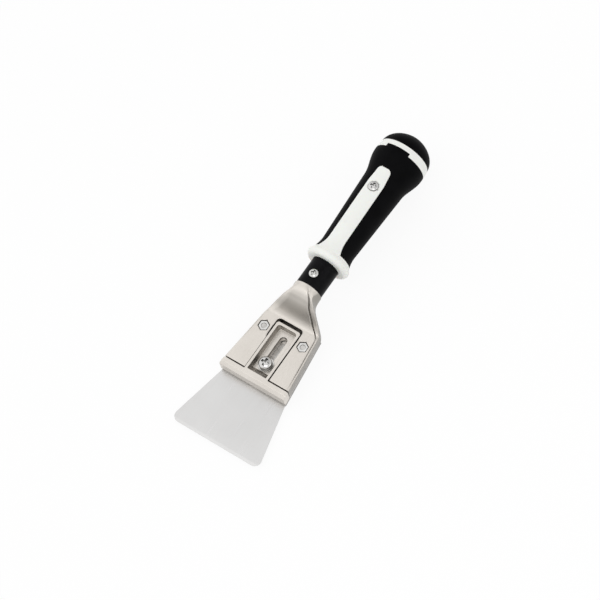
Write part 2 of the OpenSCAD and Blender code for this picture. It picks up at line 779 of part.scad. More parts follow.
blade();
head_casting();
back_plate();
clamp_plate();
clamp_screw();
flat_washer();
spring_washer();
clamp_bush();
left_nut();
right_nut();
left_bolt();
right_bolt();
shaft_tube();
shaft_screw();
shaft_plug();
handle_core();
collar_strip();
grip_sleeve();
end_ring();
end_cap();
handle_screw();
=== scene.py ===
"""Looks of the blade scraper: finely shaped pieces over the fixed frame, materials, light and camera."""
import json
import math

import bmesh
import bpy
from mathutils import Matrix, Vector


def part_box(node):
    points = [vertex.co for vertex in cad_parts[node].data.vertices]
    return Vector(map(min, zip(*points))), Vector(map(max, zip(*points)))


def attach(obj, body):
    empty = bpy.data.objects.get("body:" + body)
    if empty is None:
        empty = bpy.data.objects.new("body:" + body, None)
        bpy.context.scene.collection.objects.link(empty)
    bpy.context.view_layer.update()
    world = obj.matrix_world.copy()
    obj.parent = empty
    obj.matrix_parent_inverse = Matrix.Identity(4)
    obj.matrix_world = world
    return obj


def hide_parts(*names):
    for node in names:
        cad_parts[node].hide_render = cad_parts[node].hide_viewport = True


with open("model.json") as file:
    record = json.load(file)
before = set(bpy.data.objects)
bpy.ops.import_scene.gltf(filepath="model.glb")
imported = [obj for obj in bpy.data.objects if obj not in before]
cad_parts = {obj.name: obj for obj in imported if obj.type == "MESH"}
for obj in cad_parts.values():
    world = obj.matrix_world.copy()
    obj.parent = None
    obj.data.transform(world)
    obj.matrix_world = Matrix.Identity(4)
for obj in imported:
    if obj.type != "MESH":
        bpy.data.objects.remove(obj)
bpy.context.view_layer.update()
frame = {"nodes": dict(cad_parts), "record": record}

record = frame["record"]
BODY_OF = {node: body for body, nodes in record["behaviour"]["bodies"].items() for node in nodes}
SLOT_OF = {part["node"]: part["material_slot"] for part in record["subparts"]}

# Lengths are in millimetres, in the frame of the part
MM = 0.001

# Places along the tool, from the cutting edge to the handle's end
EDGE_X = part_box("blade")[0][0] / MM
BAR_BACK_X = EDGE_X + 43.6
WING_X = EDGE_X + 44.2
SCREW_X = EDGE_X + 52.5
NUT_X = EDGE_X + 70.6
SHOULDER_X = EDGE_X + 79.6
NECK_X = EDGE_X + 98.0
SHAFT_SCREW_X = EDGE_X + 105.3
COLLAR_X = EDGE_X + 115.5
GRIP_X = EDGE_X + 121.5
WAIST_X = GRIP_X + 6.96
HANDLE_SCREW_X = GRIP_X + 44.9
STRIP_END_X = GRIP_X + 57.7
RING_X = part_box("end_ring")[0][0] / MM
THROAT_X = RING_X - 17.52
BULB_X = RING_X - 1.42
CAP_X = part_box("end_ring")[1][0] / MM
TIP_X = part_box("end_cap")[1][0] / MM

# Heights over the back of the head
BLADE_Z = 2.0
CLAMP_Z = 2.6
SCREW_SEAT_Z = 8.9
NUT_POCKET_Z = 9.1
FACE_Z = 11.8
AXIS_Z = 21.4

# Sizes of the head
WING_FRONT_W = 43.2
SHOULDER_W = 35.6
NECK_R = 8.7
CHAMFER = 0.8
DRAFT = 0.8
FRONT_BREAK = 0.4
OPENING_HALF_W = 8.6
OPENING_WEB = 0.6
OPENING_CORNER_R = 2.3
# On the +y side the opening closes up to the clamp plate's stem, from just in front of the nuts
CLOSED_HALF_W = 8.02
CLOSING_SETBACK = 2.4
CLOSING_LEN = 4.0
TONGUE_ROOM = 0.4
NUT_Y = 13.2
NUT_POCKET_HALF_AF = 3.1
BOLT_HOLE_R = 1.7
BOLT_HOLE_OVERLAP = 0.4
# A cut starts and ends clear of the head
CUT_X = WING_X - 1
CUT_LOW_Z = 1.0
CUT_HIGH_Z = 13.0

# The rim along the outside of the head: its widths on the wings and the neck, and its drop
WING_RIM = 1.2
NECK_RIM = 4.4
RIM_DROP = 1.6
DROP_FADE_LEN = 8.85
# Its width at the neck's end and its drop on the wings, as shares of those on the neck
NECK_RIM_END = 0.45
WING_DROP = 0.25
# Depths of its foot, rise and outer edge, as shares of the drop: on the +y side, then on the -y side
SLOPE_DEPTHS = (0.05, 0.12, 0.5)
GROOVE_DEPTHS = (1.5, 0.65, 0.8)
# How far its edge stands inside its line, and its foot and rise outside, as shares of its width
RIM_EDGE = 0.1
RIM_FOOT = 0.06
RIM_RISE = 0.22
# Start and run of each change along the neck, as shares of its length
SIDE_TURN = (-0.05, 0.88)
FOOT_TURN = (0.04, 0.75)
RIM_TURN = (-0.15, 0.4)
RIM_END_TURN = (0.4, 0.3)
BACK_TURN = (0.1, 0.7)
ROUND_TURN = (0.5, 0.5)
# Half widths at the neck's end, as shares of its radius
SIDE_END = 0.83
FOOT_END = 0.86
# Where each corner of a flat section goes on the round one, in degrees from the top
SECTION_ANGLES = [0, 8, 16, 19.5, 23, 38, 46, 90, 125, 145, 165, 180]
ROUNDED_SLOPES = (2, 3)
# Where the wings have a section, as shares of their length, and the number of steps along the neck
WING_PLACES = (0.3, 0.6, 0.8, 0.85, 0.9, 0.94, 0.97, 0.99)
NECK_STEPS = 48

# Sizes of the shaft and the handle
SHAFT_R = 8.3
COLLAR_R = 13.5
COLLAR_ROUND = 2.6
COLLAR_END_R = 11.9
GRIP_START_D = 23.6
WAIST_D = 21.3
THROAT_D = 25.4
BULB_D = 32.2
SLEEVE_T = 2.2
RING_END_R = 15.6
SPIGOT_R = 9.5
SPIGOT_LEN = 8
TAB_INNER_R = 13.85
TAB_CUT_R = 17.0
TAB_LEN = 2
TAB_HALF_ANGLE = 27.5
TAB_ROOT = 0.4
TAB_CUT_ROOT = 0.5
ABOVE_HANDLE_Z = 45
# The shaft screw's seat as a share of the shaft's radius, and the end ring's growth over its first half
SHAFT_SEAT = 0.95
RING_MIDDLE = 0.3
# Power of the domed end's curve
DOME_FULLNESS = 1.2

# Sizes of the white strip along the grip
STRIP_PROUD = 0.25
STRIP_HALF_W = 5.15
STRIP_FLARE = 2
STRIP_FLARE_LEN = 8.24
STRIP_TAPER_LEN = 10.3
STRIP_END_R = 2.575
STRIP_EDGE_R = 0.4
STRIP_DEPTH = 0.9
# Width before the rounded end, as a share of the width along the grip
STRIP_END = 0.84
# Distances from the strip's end: where its sections draw closer, and where the last takes its width
STRIP_DENSE_LEN = 3.0
STRIP_LAST = 0.02
# Overlap of the strip with the collar
STRIP_ROOT = 1.5
# The groove for the strip in the grip: its gap, and how far its cutter starts early and stands out
GROOVE_GAP = 0.1
GROOVE_ROOT = 3
GROOVE_PROUD = 1.5
# Seat of the handle screw in the strip
HANDLE_SCREW_SINK = 0.85
SCREW_SEAT_R = 3.2
SCREW_HOLE_R = 1.7

# Rounding of the edges of the pieces that keep the solids' shapes
EDGE_WIDTHS = (("clamp_plate", 0.22), ("blade", 0.07), ("flat_washer", 0.1), ("spring_washer", 0.1),
               ("left_nut", 0.2), ("right_nut", 0.2), ("left_bolt", 0.1), ("right_bolt", 0.1),
               ("back_plate", 0.2), ("shaft_tube", 0.15))
SMOOTH_ANGLE = 40
# Clearance that keeps the sliding faces of the clamp plate and the blade apart
SLIDE_GAP = 0.03
# Solids that are kept as they are and only get a finish
PLAIN_NODES = ("clamp_bush", "shaft_plug", "handle_core")

# Ends of a noise texture's usual range
NOISE_LOW = 0.3
NOISE_HIGH = 0.7


def mix(a, b, t):
    return a + (b - a) * t


def smooth(t):
    """0 to 1 with a soft start and a soft end."""
    t = min(max(t, 0.0), 1.0)
    return t * t * (3 - 2 * t)


def quarter(i, steps):
    """The angle after some of the steps of a quarter turn."""
    return math.pi / 2 * i / steps


def mesh_object(name, points, faces):
    mesh = bpy.data.meshes.new(name)
    mesh.from_pydata([[c * MM for c in p] for p in points], [], faces)
    mesh.update()
    obj = bpy.data.objects.new(name, mesh)
    bpy.context.scene.collection.objects.link(obj)
    return obj


def face_outwards(obj, merge=1e-7, collapse=0.0):
    """Merges points closer than a distance in metres and turns all faces outwards."""
    bm = bmesh.new()
    bm.from_mesh(obj.data)
    bmesh.ops.remove_doubles(bm, verts=bm.verts, dist=merge)
    if collapse:
        bmesh.ops.dissolve_degenerate(bm, edges=bm.edges, dist=collapse)
    bmesh.ops.recalc_face_normals(bm, faces=bm.faces)
    bm.to_mesh(obj.data)
    bm.free()


def loft(name, rings):
    """A closed solid through rings of equally many points, with a flat face at each end."""
    count = len(rings[0])
    points = [p for ring in rings for p in ring]
    faces = [tuple(range(count - 1, -1, -1))]
    for s in range(len(rings) - 1):
        for i in range(count):
            j = (i + 1) % count
            a = s * count
            faces.append((a + i, a + j, a + count + j, a + count + i))
    last = (len(rings) - 1) * count
    faces.append(tuple(range(last, last + count)))
    obj = mesh_object(name, points, faces)
    face_outwards(obj)
    return obj


def lathe(name, profile, around=128):
    """A closed profile of (radius, x) points turned about the handle's axis."""
    points = []
    faces = []
    count = len(profile)
    for k in range(around):
        a = 2 * math.pi * k / around
        for r, x in profile:
            points.append((x, r * math.sin(a), AXIS_Z + r * math.cos(a)))
    for k in range(around):
        n = (k + 1) % around
        for i in range(count):
            j = (i + 1) % count
            faces.append((k * count + i, k * count + j, n * count + j, n * count + i))
    obj = mesh_object(name, points, faces)
    face_outwards(obj, merge=1e-6, collapse=1e-6)
    return obj


def prism(name, outline, low, high):
    """An upright prism over an outline of (x, y) points."""
    return loft(name, [[(x, y, z) for x, y in outline] for z in (low, high)])


def arc(cx, cy, r, from_a, to_a, steps=8):
    return [(cx + r * math.cos(math.radians(mix(from_a, to_a, i / steps))),
             cy + r * math.sin(math.radians(mix(from_a, to_a, i / steps)))) for i in range(steps + 1)]


def upright(name, x, y, low, high, r, around=48):
    """An upright prism over a regular outline, round unless around is small."""
    outline = [(x + r * math.cos(2 * math.pi * i / around),
                y + r * math.sin(2 * math.pi * i / around)) for i in range(around)]
    return prism(name, outline, low, high)


def apply_modifiers(obj):
    depsgraph = bpy.context.evaluated_depsgraph_get()
    mesh = bpy.data.meshes.new_from_object(obj.evaluated_get(depsgraph))
    old = obj.data
    obj.modifiers.clear()
    obj.data = mesh
    bpy.data.meshes.remove(old)


def combine(obj, other, operation):
    mod = obj.modifiers.new("combine", "BOOLEAN")
    mod.operation = operation
    mod.solver = "EXACT"
    mod.object = other
    apply_modifiers(obj)
    mesh = other.data
    bpy.data.objects.remove(other)
    bpy.data.meshes.remove(mesh)


def cut(obj, cutter):
    combine(obj, cutter, "DIFFERENCE")


def unite(obj, other):
    combine(obj, other, "UNION")


def join_flat_faces(obj, merge=2e-6, angle=0.2):
    bm = bmesh.new()
    bm.from_mesh(obj.data)
    bmesh.ops.remove_doubles(bm, verts=bm.verts, dist=merge)
    bmesh.ops.dissolve_limit(bm, angle_limit=math.radians(angle), verts=bm.verts, edges=bm.edges)
    bm.to_mesh(obj.data)
    bm.free()


def shade(obj):
    for face in obj.data.polygons:
        face.use_smooth = True
    obj.data.set_sharp_from_angle(angle=math.radians(SMOOTH_ANGLE))


def soften(obj, width, angle=28):
    """Rounds the edges sharper than an angle, by a width in millimetres."""
    mod = obj.modifiers.new("soften", "BEVEL")
    mod.width = width * MM
    mod.segments = 2
    mod.limit_method = "ANGLE"
    mod.angle_limit = math.radians(angle)
    mod.use_clamp_overlap = False
    mod.harden_normals = False
    apply_modifiers(obj)
    shade(obj)
    mod = obj.modifiers.new("even", "WEIGHTED_NORMAL")
    mod.keep_sharp = True
    apply_modifiers(obj)


def copy_of(node):
    """A new object with a copy of a node's mesh, cleaned of its triangles on flat faces."""
    source = frame["nodes"][node]
    obj = bpy.data.objects.new(node + "_finish", source.data.copy())
    bpy.context.scene.collection.objects.link(obj)
    obj.matrix_world = source.matrix_world.copy()
    join_flat_faces(obj)
    return obj


def new_material(name, **values):
    mat = bpy.data.materials.new(name)
    mat.use_nodes = True
    shader = mat.node_tree.nodes["Principled BSDF"]
    for key, value in values.items():
        shader.inputs[key.replace("_", " ")].default_value = value
    return mat, mat.node_tree, shader


def noise(tree, scale, detail=3.0, stretch=(1.0, 1.0, 1.0)):
    """The factor of a noise texture in the object's own metres."""
    coord = tree.nodes.new("ShaderNodeTexCoord")
    mapping = tree.nodes.new("ShaderNodeMapping")
    mapping.inputs["Scale"].default_value = stretch
    tree.links.new(coord.outputs["Object"], mapping.inputs["Vector"])
    texture = tree.nodes.new("ShaderNodeTexNoise")
    texture.inputs["Scale"].default_value = scale
    texture.inputs["Detail"].default_value = detail
    tree.links.new(mapping.outputs["Vector"], texture.inputs["Vector"])
    return texture.outputs["Fac"]


def span(tree, value, low, high, from_low=NOISE_LOW, from_high=NOISE_HIGH):
    """A value rescaled to a range, and kept inside it."""
    node = tree.nodes.new("ShaderNodeMapRange")
    node.inputs["From Min"].default_value = from_low
    node.inputs["From Max"].default_value = from_high
    node.inputs["To Min"].default_value = low
    node.inputs["To Max"].default_value = high
    tree.links.new(value, node.inputs["Value"])
    return node.outputs["Result"]


def over(tree, value, low, high):
    """0 below one length in millimetres, and 1 above another."""
    return span(tree, value, 0.0, 1.0, low * MM, high * MM)


def calculate(tree, operation, *values):
    node = tree.nodes.new("ShaderNodeMath")
    node.operation = operation
    for socket, value in zip(node.inputs, values):
        if isinstance(value, float):
            socket.default_value = value
        else:
            tree.links.new(value, socket)
    return node.outputs[0]


def ramp(tree, value, stops):
    node = tree.nodes.new("ShaderNodeValToRGB")
    node.color_ramp.elements[0].position = stops[0][0]
    node.color_ramp.elements[0].color = (*stops[0][1], 1.0)
    node.color_ramp.elements[1].position = stops[-1][0]
    node.color_ramp.elements[1].color = (*stops[-1][1], 1.0)
    for place, colour in stops[1:-1]:
        node.color_ramp.elements.new(place).color = (*colour, 1.0)
    tree.links.new(value, node.inputs["Fac"])
    return node.outputs["Color"]


def shades(tree, cloud, dark, light):
    """A colour that drifts between two shades with a noise."""
    return ramp(tree, cloud, [(NOISE_LOW, dark), (NOISE_HIGH, light)])


def bump(tree, shader, height, distance, strength):
    node = tree.nodes.new("ShaderNodeBump")
    node.inputs["Strength"].default_value = strength
    node.inputs["Distance"].default_value = distance
    tree.links.new(height, node.inputs["Height"])
    tree.links.new(node.outputs["Normal"], shader.inputs["Normal"])


def steepness(tree, wall, flat):
    """1 where the normal's upright part is below wall, 0 where it is above flat."""
    place = tree.nodes.new("ShaderNodeNewGeometry")
    split = tree.nodes.new("ShaderNodeSeparateXYZ")
    tree.links.new(place.outputs["Normal"], split.inputs[0])
    return span(tree, calculate(tree, "ABSOLUTE", split.outputs["Z"]), 1.0, 0.0, wall, flat)


def blend_colours(tree, factor, first, second):
    node = tree.nodes.new("ShaderNodeMix")
    node.data_type = "RGBA"
    tree.links.new(factor, node.inputs[0])
    tree.links.new(first, node.inputs[6])
    tree.links.new(second, node.inputs[7])
    return node.outputs[2]


def satin_casting():
    """Brushed faces. Steep faces are painted much darker, as shade, behind the jaw bar and low under its
    nose, but not deep in the clamp plate's slot."""
    mat, tree, shader = new_material("satin_casting", Metallic=1.0)
    cloud = noise(tree, 60.0, 4.0)
    brushed = shades(tree, cloud, (0.69, 0.65, 0.60), (0.75, 0.71, 0.66))
    # Painted shade: a much darker copy of the brushed colour, for steep walls
    shaded_wall_colour = shades(tree, cloud, (0.31, 0.295, 0.27), (0.39, 0.37, 0.34))
    coord = tree.nodes.new("ShaderNodeTexCoord")
    split = tree.nodes.new("ShaderNodeSeparateXYZ")
    tree.links.new(coord.outputs["Object"], split.inputs[0])
    behind_bar = over(tree, split.outputs["X"], BAR_BACK_X - 0.5, BAR_BACK_X + 0.5)
    # Painted shadow along the low part of the walls, under the jaw bar's nose
    under_nose = span(tree, split.outputs["Z"], 1.0, 0.0, (CLAMP_Z + 1.6) * MM, (CLAMP_Z + 2.2) * MM)
    beside_slot = over(tree, calculate(tree, "ABSOLUTE", split.outputs["Y"]), 3.3, 3.6)
    above_slot = over(tree, split.outputs["Z"], 4.9, 5.7)
    # Where the painted shade goes: behind the bar or low under the nose, and not deep in the slot
    painted_shade_area = calculate(tree, "MULTIPLY", calculate(tree, "MAXIMUM", behind_bar, under_nose),
                         calculate(tree, "MAXIMUM", beside_slot, above_slot))
    share = calculate(tree, "MULTIPLY", painted_shade_area, steepness(tree, 0.46, 0.60))
    tree.links.new(blend_colours(tree, share, brushed, shaded_wall_colour), shader.inputs["Base Color"])
    grain = noise(tree, 900.0, 4.0, stretch=(0.35, 1.6, 1.6))
    tree.links.new(span(tree, grain, 0.32, 0.46), shader.inputs["Roughness"])
    bump(tree, shader, grain, distance=0.00003, strength=0.5)
    return mat


def ground_blade():
    """Steel with fine grinding lines that run along the tool."""
    mat, tree, shader = new_material("ground_blade", Metallic=1.0)
    cloud = noise(tree, 22.0)
    tree.links.new(shades(tree, cloud, (0.64, 0.635, 0.63), (0.70, 0.695, 0.69)), shader.inputs["Base Color"])
    lines = noise(tree, 300.0, 5.0, stretch=(0.12, 9.0, 1.0))
    tree.links.new(span(tree, lines, 0.27, 0.40), shader.inputs["Roughness"])
    bump(tree, shader, lines, distance=0.00002, strength=0.5)
    return mat


def plain_zinc():
    """Speckled plating, with its steep sides, on the edges of nuts and plates, painted darker as shade."""
    mat, tree, shader = new_material("plain_zinc", Metallic=1.0)
    cloud = noise(tree, 420.0, 4.0)
    face = shades(tree, cloud, (0.47, 0.46, 0.44), (0.70, 0.685, 0.66))
    # Painted shade: a darker copy of the face colour for the steep sides
    wall = shades(tree, cloud, (0.22, 0.21, 0.20), (0.34, 0.325, 0.31))
    tree.links.new(blend_colours(tree, steepness(tree, 0.15, 0.5), face, wall), shader.inputs["Base Color"])
    tree.links.new(span(tree, cloud, 0.28, 0.42), shader.inputs["Roughness"])
    bump(tree, shader, noise(tree, 1200.0), distance=0.00002, strength=0.4)
    return mat


def bright_plating():
    """Bright domes, with their steep rims and recess walls painted dark as shade."""
    mat, tree, shader = new_material("bright_plating", Metallic=1.0)
    cloud = noise(tree, 400.0)
    dome = shades(tree, cloud, (0.60, 0.595, 0.58), (0.70, 0.695, 0.68))
    # Painted shade: a dark copy of the dome colour for the steep rims and recess walls
    wall = shades(tree, cloud, (0.13, 0.13, 0.125), (0.20, 0.20, 0.19))
    tree.links.new(blend_colours(tree, steepness(tree, 0.2, 0.5), dome, wall), shader.inputs["Base Color"])
    tree.links.new(span(tree, cloud, 0.08, 0.18), shader.inputs["Roughness"])
    bump(tree, shader, noise(tree, 1500.0, 2.0), distance=0.00001, strength=0.3)
    return mat


def turned_brass():
    mat, tree, shader = new_material("turned_brass", Metallic=1.0)
    cloud = noise(tree, 250.0)
    tree.links.new(shades(tree, cloud, (0.60, 0.45, 0.20), (0.74, 0.58, 0.29)), shader.inputs["Base Color"])
    tree.links.new(span(tree, cloud, 0.22, 0.36), shader.inputs["Roughness"])
    return mat


def black_coating():
    mat, tree, shader = new_material("black_coating", IOR=1.5, Specular_IOR_Level=0.05)
    cloud = noise(tree, 300.0)
    tree.links.new(shades(tree, cloud, (0.004, 0.004, 0.0045), (0.007, 0.007, 0.008)),
                   shader.inputs["Base Color"])
    tree.links.new(span(tree, cloud, 0.30, 0.42), shader.inputs["Roughness"])
    bump(tree, shader, noise(tree, 1600.0), distance=0.00003, strength=0.4)
    return mat


def white_moulding():
    mat, tree, shader = new_material("white_moulding", IOR=1.46, Subsurface_Weight=0.05)
    cloud = noise(tree, 70.0)
    tree.links.new(shades(tree, cloud, (0.885, 0.876, 0.832), (0.915, 0.906, 0.865)),
                   shader.inputs["Base Color"])
    tree.links.new(span(tree, noise(tree, 600.0), 0.34, 0.46), shader.inputs["Roughness"])
    bump(tree, shader, noise(tree, 1400.0), distance=0.00003, strength=0.35)
    return mat


def soft_elastomer():
    mat, tree, shader = new_material("soft_elastomer", IOR=1.5, Specular_IOR_Level=0.035)
    cloud = noise(tree, 120.0, 4.0)
    tree.links.new(shades(tree, cloud, (0.002, 0.002, 0.0022), (0.0035, 0.0035, 0.004)),
                   shader.inputs["Base Color"])
    grain = noise(tree, 1800.0)
    tree.links.new(span(tree, grain, 0.46, 0.62), shader.inputs["Roughness"])
    bump(tree, shader, grain, distance=0.00006, strength=0.5)
    return mat


MATERIALS = {
    "blade_steel": ground_blade(),
    "cast_metal": satin_casting(),
    "plate_steel": plain_zinc(),
    "bright_screws": bright_plating(),
    "brass_inserts": turned_brass(),
    "black_shaft": black_coating(),
    "core_plastic": white_moulding(),
    "white_plastic": white_moulding(),
    "soft_grip": soft_elastomer(),
}


def dress(obj, node):
    """Gives a piece its finish and its body, taken from the node that it stands for, and hides that node."""
    obj.data.materials.clear()
    obj.data.materials.append(MATERIALS[SLOT_OF[node]])
    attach(obj, BODY_OF[node])
    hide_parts(node)


def along_neck(x, turn):
    """How far a change along the neck has gone at x, from 0 to 1."""
    start, run = turn
    return smooth(((x - SHOULDER_X) / (NECK_X - SHOULDER_X) - start) / run)


def flank(x):
    """Half the width across the wings."""
    return mix(WING_FRONT_W, SHOULDER_W, (x - WING_X) / (SHOULDER_X - WING_X)) / 2


def side_w(x):
    """Half the head's width at its upper edge."""
    if x < SHOULDER_X:
        return flank(x)
    return mix(SHOULDER_W / 2, NECK_R * SIDE_END, along_neck(x, SIDE_TURN))


def foot_w(x):
    """Half the head's width at its back."""
    if x < SHOULDER_X:
        return flank(x) - DRAFT
    return mix(SHOULDER_W / 2 - DRAFT, NECK_R * FOOT_END, along_neck(x, FOOT_TURN))


def section_corners(x, top, depths):
    """Half the corners of a flat section at x, from the middle of the face round to that of the back."""
    ridge = along_neck(x, RIM_TURN)
    w = side_w(x)
    foot = foot_w(x)
    g = mix(WING_RIM, NECK_RIM, ridge)
    f = w - mix(g, NECK_RIM * NECK_RIM_END, along_neck(x, RIM_END_TURN))
    drop = RIM_DROP * mix(WING_DROP * smooth((x - WING_X) / DROP_FADE_LEN), 1, ridge)
    bottom, rise, low = (top - drop * depth for depth in depths)
    b = CHAMFER / 2
    z = mix(BLADE_Z, AXIS_Z - NECK_R, along_neck(x, BACK_TURN))
    return [(0, top), (f / 2, top), (f - g * RIM_EDGE, top), (f + g * RIM_FOOT, bottom),
            (f + g * RIM_RISE, rise), (w - CHAMFER, low), (w, low - CHAMFER),
            ((w + foot) / 2, (low + z) / 2), (foot, z + b), (foot - b, z), (foot / 2, z), (0, z)]


def half_section(x, top, depths, steps=6):
    """Half a ring round the head at x, and its lowest point. The slopes beside the rim are rounded."""
    corners = section_corners(x, top, depths)
    roundness = along_neck(x, ROUND_TURN)
    half = []
    for k in range(len(corners) - 1):
        for s in range(steps):
            t = s / steps
            lift = smooth(t) if k in ROUNDED_SLOPES else t
            a = math.radians(mix(SECTION_ANGLES[k], SECTION_ANGLES[k + 1], t))
            flat = (mix(corners[k][0], corners[k + 1][0], t), mix(corners[k][1], corners[k + 1][1], lift))
            bow = (NECK_R * math.sin(a), AXIS_Z + NECK_R * math.cos(a))
            half.append((mix(flat[0], bow[0], roundness), mix(flat[1], bow[1], roundness)))
    return half, (0, mix(corners[-1][1], AXIS_Z - NECK_R, roundness))


def section(x, top):
    """A ring round the head at x, with a slope beside its +y rim and a groove beside its -y rim."""
    left, low = half_section(x, top, SLOPE_DEPTHS)
    right, low = half_section(x, top, GROOVE_DEPTHS)
    ring = left + [low] + [(-y, z) for y, z in reversed(right[1:])]
    return [(x, y, z) for y, z in ring]


def crown_z(x):
    """Height of the middle of the face, which sweeps up along the neck."""
    t = min(max((x - SHOULDER_X) / (NECK_X - SHOULDER_X), 0.0), 1.0)
    return mix(FACE_Z, AXIS_Z + NECK_R, 1 - (1 - t) ** 3 * (1 + 3 * t))


def make_head():
    front = WING_X + FRONT_BREAK
    rings = [section(WING_X, FACE_Z - FRONT_BREAK), section(front, FACE_Z)]
    rings += [section(mix(front, SHOULDER_X, t), FACE_Z) for t in WING_PLACES]
    neck = [mix(SHOULDER_X, NECK_X, i / NECK_STEPS) for i in range(NECK_STEPS + 1)]
    rings += [section(x, crown_z(x)) for x in neck]
    head = loft("head_casting_finish", rings)

    r = OPENING_CORNER_R
    corner_x = SHOULDER_X - OPENING_WEB - r
    end = [*arc(corner_x, r - OPENING_HALF_W, r, -90, 0), *arc(corner_x, OPENING_HALF_W - r, r, 0, 90)]
    steps = 8
    closing = [(NUT_X - CLOSING_SETBACK - CLOSING_LEN * i / steps,
                mix(OPENING_HALF_W, CLOSED_HALF_W, smooth(i / steps))) for i in range(steps + 1)]
    opening = [(CUT_X, -OPENING_HALF_W), *end, *closing, (CUT_X, CLOSED_HALF_W)]
    cut(head, prism("opening", opening, CUT_LOW_Z, CUT_HIGH_Z))
    room = [(CUT_X, -OPENING_HALF_W), *end, (CUT_X, OPENING_HALF_W)]
    cut(head, prism("tongue_room", room, CUT_LOW_Z, CLAMP_Z + TONGUE_ROOM))

    pocket_r = NUT_POCKET_HALF_AF / math.cos(math.pi / 6)
    hole_top = NUT_POCKET_Z + BOLT_HOLE_OVERLAP
    for side in (-1, 1):
        cut(head, upright("pocket", NUT_X, side * NUT_Y, NUT_POCKET_Z, CUT_HIGH_Z, pocket_r, around=6))
        cut(head, upright("hole", NUT_X, side * NUT_Y, CUT_LOW_Z, hole_top, BOLT_HOLE_R))
    soften(head, 0.22, angle=30)
    dress(head, "head_casting")


def make_screw(node, x, seat, d, h, shank_r, low):
    """A domed head with a tapered cross recess, on a plain shank."""
    end_break = 0.25
    edge_break = 0.1
    rim = h * 0.4
    steps = 14
    profile = [(shank_r - end_break, low), (shank_r, low + end_break), (shank_r, seat),
               (d / 2 - edge_break, seat), (d / 2, seat + edge_break)]
    profile += [(d / 2 * math.cos(quarter(i, steps)), seat + rim + (h - rim) * math.sin(quarter(i, steps)))
                for i in range(steps)]
    around = 64
    rings = [[(x + r * math.cos(2 * math.pi * k / around), r * math.sin(2 * math.pi * k / around), z)
              for k in range(around)] for r, z in profile]
    screw = loft(node + "_finish", rings)
    half_l = d * 0.33
    half_w = d * 0.095
    # The recess narrows from above the head down to its floor
    levels = ((seat + h * 0.2, 0.72), (seat + h * 1.05, 1.0))
    for turn in (0, 90):
        c = math.cos(math.radians(turn))
        s = math.sin(math.radians(turn))
        rings = []
        for z, share in levels:
            length = half_l * share
            width = half_w * mix(0.7, 1, share)
            corners = [(-length, -width), (length, -width), (length, width), (-length, width)]
            rings.append([(x + a * c - b * s, a * s + b * c, z) for a, b in corners])
        cut(screw, loft("recess", rings))
    soften(screw, 0.07, angle=35)
    dress(screw, node)


def make_copies():
    """Pieces that keep their solids' shapes, with their edges rounded."""
    for node, width in EDGE_WIDTHS:
        piece = copy_of(node)
        soften(piece, width)
        if node == "clamp_plate":
            for vertex in piece.data.vertices:
                if vertex.co.z < (CLAMP_Z + 0.01) * MM:
                    vertex.co.z += SLIDE_GAP * MM
        dress(piece, node)


def grip_r(x):
    """Radius of the grip."""
    if x < WAIST_X:
        return mix(WAIST_D, GRIP_START_D, ((WAIST_X - x) / (WAIST_X - GRIP_X)) ** 2) / 2
    if x < THROAT_X:
        return mix(WAIST_D, THROAT_D, (x - WAIST_X) / (THROAT_X - WAIST_X)) / 2
    return mix(THROAT_D, BULB_D, smooth((x - THROAT_X) / (BULB_X - THROAT_X))) / 2


def ring_r(x):
    """Radius of the end ring, with a faint bend half way along."""
    t = max((x - RING_X) / (CAP_X - RING_X), 0.0)
    start = grip_r(RING_X)
    middle = mix(start, RING_END_R, RING_MIDDLE)
    if t < 0.5:
        return mix(start, middle, t / 0.5)
    return mix(middle, RING_END_R, (t - 0.5) / 0.5)


def strip_half_w(x, gap):
    """Half the strip's width, with a gap round it: flared at the collar and narrower at its rounded end."""
    w = STRIP_HALF_W + gap
    far = STRIP_END_X + gap
    r = STRIP_END_R
    if x < GRIP_X + STRIP_FLARE_LEN:
        return w + STRIP_FLARE * (1 - max(x - GRIP_X, 0.0) / STRIP_FLARE_LEN) ** 2
    if x < far - STRIP_TAPER_LEN:
        return w
    if x < far - r:
        return mix(w, w * STRIP_END, (x - far + STRIP_TAPER_LEN) / (STRIP_TAPER_LEN - r))
    return w * STRIP_END - r + math.sqrt(max(r * r - (x - far + r) ** 2, 0.0))


def strip_solid(name, gap, proud, from_x):
    """The strip, or the cutter of its groove, with rounded upper edges."""
    e = STRIP_EDGE_R
    far = STRIP_END_X + gap
    steps = 60
    places = [from_x + (far - STRIP_DENSE_LEN - from_x) * i / steps for i in range(steps + 1)]
    places += [far - STRIP_END_R + (STRIP_END_R - e) * math.sin(quarter(i, 8)) for i in range(9)]
    drops = [0.0] * len(places)
    for i in range(1, 6):
        a = quarter(i, 5)
        places.append(far - e + e * math.sin(a))
        drops.append(e * (1 - math.cos(a)))
    rings = []
    for x, drop in zip(places, drops):
        r = grip_r(x) + proud
        w = strip_half_w(min(x, far - STRIP_LAST), gap)
        top = [(w - e) * (2 * i / 12 - 1) for i in range(13)]
        ring = [(x, y, AXIS_Z + math.sqrt(r * r - y * y) - drop) for y in top]
        edge_z = AXIS_Z + math.sqrt(r * r - (w - e) ** 2) - drop
        side = [(w - e + e * math.sin(quarter(i, 4)), edge_z - e * (1 - math.cos(quarter(i, 4))))
                for i in range(1, 5)]
        low = AXIS_Z + grip_r(x) - SLEEVE_T - STRIP_DEPTH
        ring += [(x, y, z) for y, z in side] + [(x, w, low), (x, -w, low)]
        ring += [(x, -y, z) for y, z in reversed(side)]
        rings.append(ring)
    return loft(name, rings)


